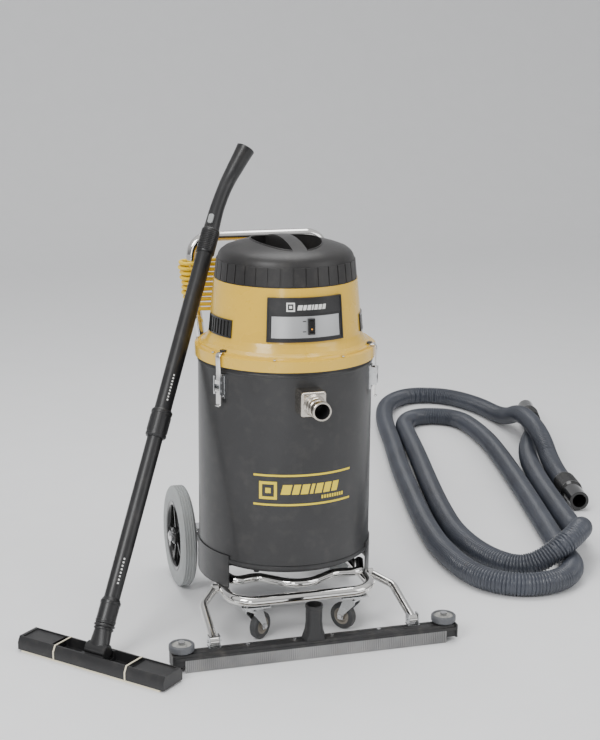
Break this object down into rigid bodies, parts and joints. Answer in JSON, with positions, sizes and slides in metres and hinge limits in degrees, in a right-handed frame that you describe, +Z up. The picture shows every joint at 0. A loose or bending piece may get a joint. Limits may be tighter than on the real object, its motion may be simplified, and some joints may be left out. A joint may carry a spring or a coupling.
{
  "type": "wet and dry shop vacuum",
  "caption": "Wheeled wet and dry vacuum: drum with latched motor head, chrome frame and handle, front squeegee, leaning wand with floor tool, long loose hose and wound power cord.",
  "frame": {"origin": "bottom centre of the box round everything except the hose and the power cord, on the floor", "axes": "+Z up, -Y to the front of the machine, where the squeegee and the switch are, +X to the right of someone facing the front from outside"},
  "size_m": [2.0134, 2.1584, 1.1029],
  "materials": {
    "drum_black": "satin",
    "black_plastic": "satin",
    "chrome": "polished",
    "dark_steel": "satin",
    "black_rubber": "matte",
    "yellow": "glossy",
    "silver": "satin",
    "black_gloss": "glossy",
    "steel": "satin",
    "cloth": "matte",
    "zinc": "satin",
    "grey_tyre": "matte",
    "dark_tyre": "matte",
    "nickel": "satin",
    "grey_plastic": "satin",
    "pale_roller": "matte",
    "cream_rubber": "matte",
    "hose_black": "satin",
    "yellow_cord": "satin"
  },
  "bodies": {
    "machine": {"drum": "drum_black", "drum_foot_ring": "black_plastic", "cradle_skirt": "drum_black", "drum_bearers": "dark_steel", "drum_rim_gasket": "black_rubber", "inlet_housing": "nickel", "inlet_spigot": "nickel", "head_shell": "yellow", "vent_grilles": "black_plastic", "control_panel": "black_plastic", "label_plate": "silver", "switch_frame": "black_plastic", "lid": "black_plastic", "head_screws": "steel", "cloth_filter": "cloth", "float_cage": "black_plastic", "motor": "steel", "latch_brackets": "zinc", "bumper_tube": "chrome", "inner_tube": "chrome", "frame_brackets": "zinc", "rear_axle": "steel", "push_handle": "chrome", "caster_mounts": "zinc", "hose_tube": "hose_black", "hose_cuff_machine": "black_plastic", "hose_cuff_wand": "black_plastic", "power_cord": "yellow_cord", "power_cord_winding": "yellow_cord", "power_plug": "black_rubber", "cord_gland": "black_rubber"},
    "latch_strap_left": {"latch_strap_left": "chrome"},
    "latch_strap_right": {"latch_strap_right": "chrome"},
    "latch_lever_left": {"latch_lever_left": "chrome"},
    "latch_lever_right": {"latch_lever_right": "chrome"},
    "switch_rocker": {"switch_rocker": "black_gloss"},
    "rear_wheel_left": {"rear_tyre_left": "grey_tyre", "rear_hub_left": "black_plastic"},
    "rear_wheel_right": {"rear_tyre_right": "grey_tyre", "rear_hub_right": "black_plastic"},
    "caster_swivel_left": {"caster_fork_left": "zinc"},
    "caster_swivel_right": {"caster_fork_right": "zinc"},
    "caster_wheel_left": {"caster_wheel_left": "dark_tyre"},
    "caster_wheel_right": {"caster_wheel_right": "dark_tyre"},
    "squeegee_arms": {"squeegee_arms": "chrome"},
    "squeegee_head": {"squeegee_channel": "dark_steel", "squeegee_blades": "black_rubber", "squeegee_brackets": "zinc", "squeegee_screws": "steel", "suction_pipe": "black_plastic"},
    "bumper_wheel_left": {"bumper_wheel_left": "pale_roller"},
    "bumper_wheel_right": {"bumper_wheel_right": "pale_roller"},
    "wand_lower": {"wand_lower_tube": "black_plastic", "wand_coupling": "black_plastic", "tool_neck": "black_plastic"},
    "wand_upper": {"wand_upper_tube": "black_plastic", "wand_grip": "black_plastic"},
    "air_slide": {"air_slide": "grey_plastic"},
    "floor_tool": {"floor_tool": "black_plastic", "floor_tool_strips": "cream_rubber"}
  },
  "joints": [
    {"name": "latch_strap_left_swing", "type": "hinge", "parent": "machine", "child": "latch_strap_left", "pos_m": [-0.03128, -0.09682, 0.608], "axis": [0.5, -0.866, 0], "range_deg": [0, 70]},
    {"name": "latch_lever_left_swing", "type": "hinge", "parent": "machine", "child": "latch_lever_left", "pos_m": [-0.03128, -0.09682, 0.589], "axis": [-0.5, 0.866, 0], "range_deg": [0, 100]},
    {"name": "latch_strap_right_swing", "type": "hinge", "parent": "machine", "child": "latch_strap_right", "pos_m": [0.34112, -0.09682, 0.608], "axis": [0.5, 0.866, 0], "range_deg": [0, 70]},
    {"name": "latch_lever_right_swing", "type": "hinge", "parent": "machine", "child": "latch_lever_right", "pos_m": [0.34112, -0.09682, 0.589], "axis": [-0.5, -0.866, 0], "range_deg": [0, 100]},
    {"name": "power_switch", "type": "hinge", "parent": "machine", "child": "switch_rocker", "pos_m": [0.16292, -0.16732, 0.74], "axis": [1, 0, 0], "range_deg": [-7, 7]},
    {"name": "rear_wheel_left_spin", "type": "hinge", "parent": "machine", "child": "rear_wheel_left", "pos_m": [-0.05108, 0.24268, 0.127], "axis": [1, 0, 0], "continuous": true},
    {"name": "rear_wheel_right_spin", "type": "hinge", "parent": "machine", "child": "rear_wheel_right", "pos_m": [0.36092, 0.24268, 0.127], "axis": [1, 0, 0], "continuous": true},
    {"name": "caster_left_swivel", "type": "hinge", "parent": "machine", "child": "caster_swivel_left", "pos_m": [0.03592, -0.15932, 0.07], "axis": [0, 0, 1], "continuous": true},
    {"name": "caster_left_roll", "type": "hinge", "parent": "caster_swivel_left", "child": "caster_wheel_left", "pos_m": [0.05431, -0.14389, 0.032], "axis": [-0.6428, 0.766, 0], "continuous": true},
    {"name": "caster_right_swivel", "type": "hinge", "parent": "machine", "child": "caster_swivel_right", "pos_m": [0.27392, -0.15932, 0.07], "axis": [0, 0, 1], "continuous": true},
    {"name": "caster_right_roll", "type": "hinge", "parent": "caster_swivel_right", "child": "caster_wheel_right", "pos_m": [0.25914, -0.14041, 0.032], "axis": [-0.788, -0.6157, 0], "continuous": true},
    {"name": "squeegee_lift", "type": "hinge", "parent": "machine", "child": "squeegee_arms", "pos_m": [0.15492, -0.07732, 0.105], "axis": [-1, 0, 0], "range_deg": [0, 20]},
    {"name": "squeegee_tilt", "type": "hinge", "parent": "squeegee_arms", "child": "squeegee_head", "pos_m": [0.15492, -0.25132, 0.054], "axis": [1, 0, 0], "range_deg": [-5, 5]},
    {"name": "bumper_wheel_left_spin", "type": "hinge", "parent": "squeegee_head", "child": "bumper_wheel_left", "pos_m": [-0.15608, -0.25732, 0.05], "axis": [0, 0, 1], "continuous": true},
    {"name": "bumper_wheel_right_spin", "type": "hinge", "parent": "squeegee_head", "child": "bumper_wheel_right", "pos_m": [0.46592, -0.25732, 0.05], "axis": [0, 0, 1], "continuous": true},
    {"name": "wand_take_away", "type": "slide", "parent": "machine", "child": "wand_lower", "axis": [-1, 0, 0], "range_m": [0, 0.2]},
    {"name": "wand_pull_apart", "type": "slide", "parent": "wand_lower", "child": "wand_upper", "axis": [0.3512, 0.4074, 0.843], "range_m": [0, 0.1]},
    {"name": "air_slide_move", "type": "slide", "parent": "wand_upper", "child": "air_slide", "axis": [0.3512, 0.4074, 0.843], "range_m": [0, 0.01]},
    {"name": "floor_tool_tilt", "type": "hinge", "parent": "wand_lower", "child": "floor_tool", "pos_m": [-0.33178, -0.19521, 0.03912], "axis": [0.6728, -0.7398, 0], "range_deg": [-20, 6]}
  ]
}
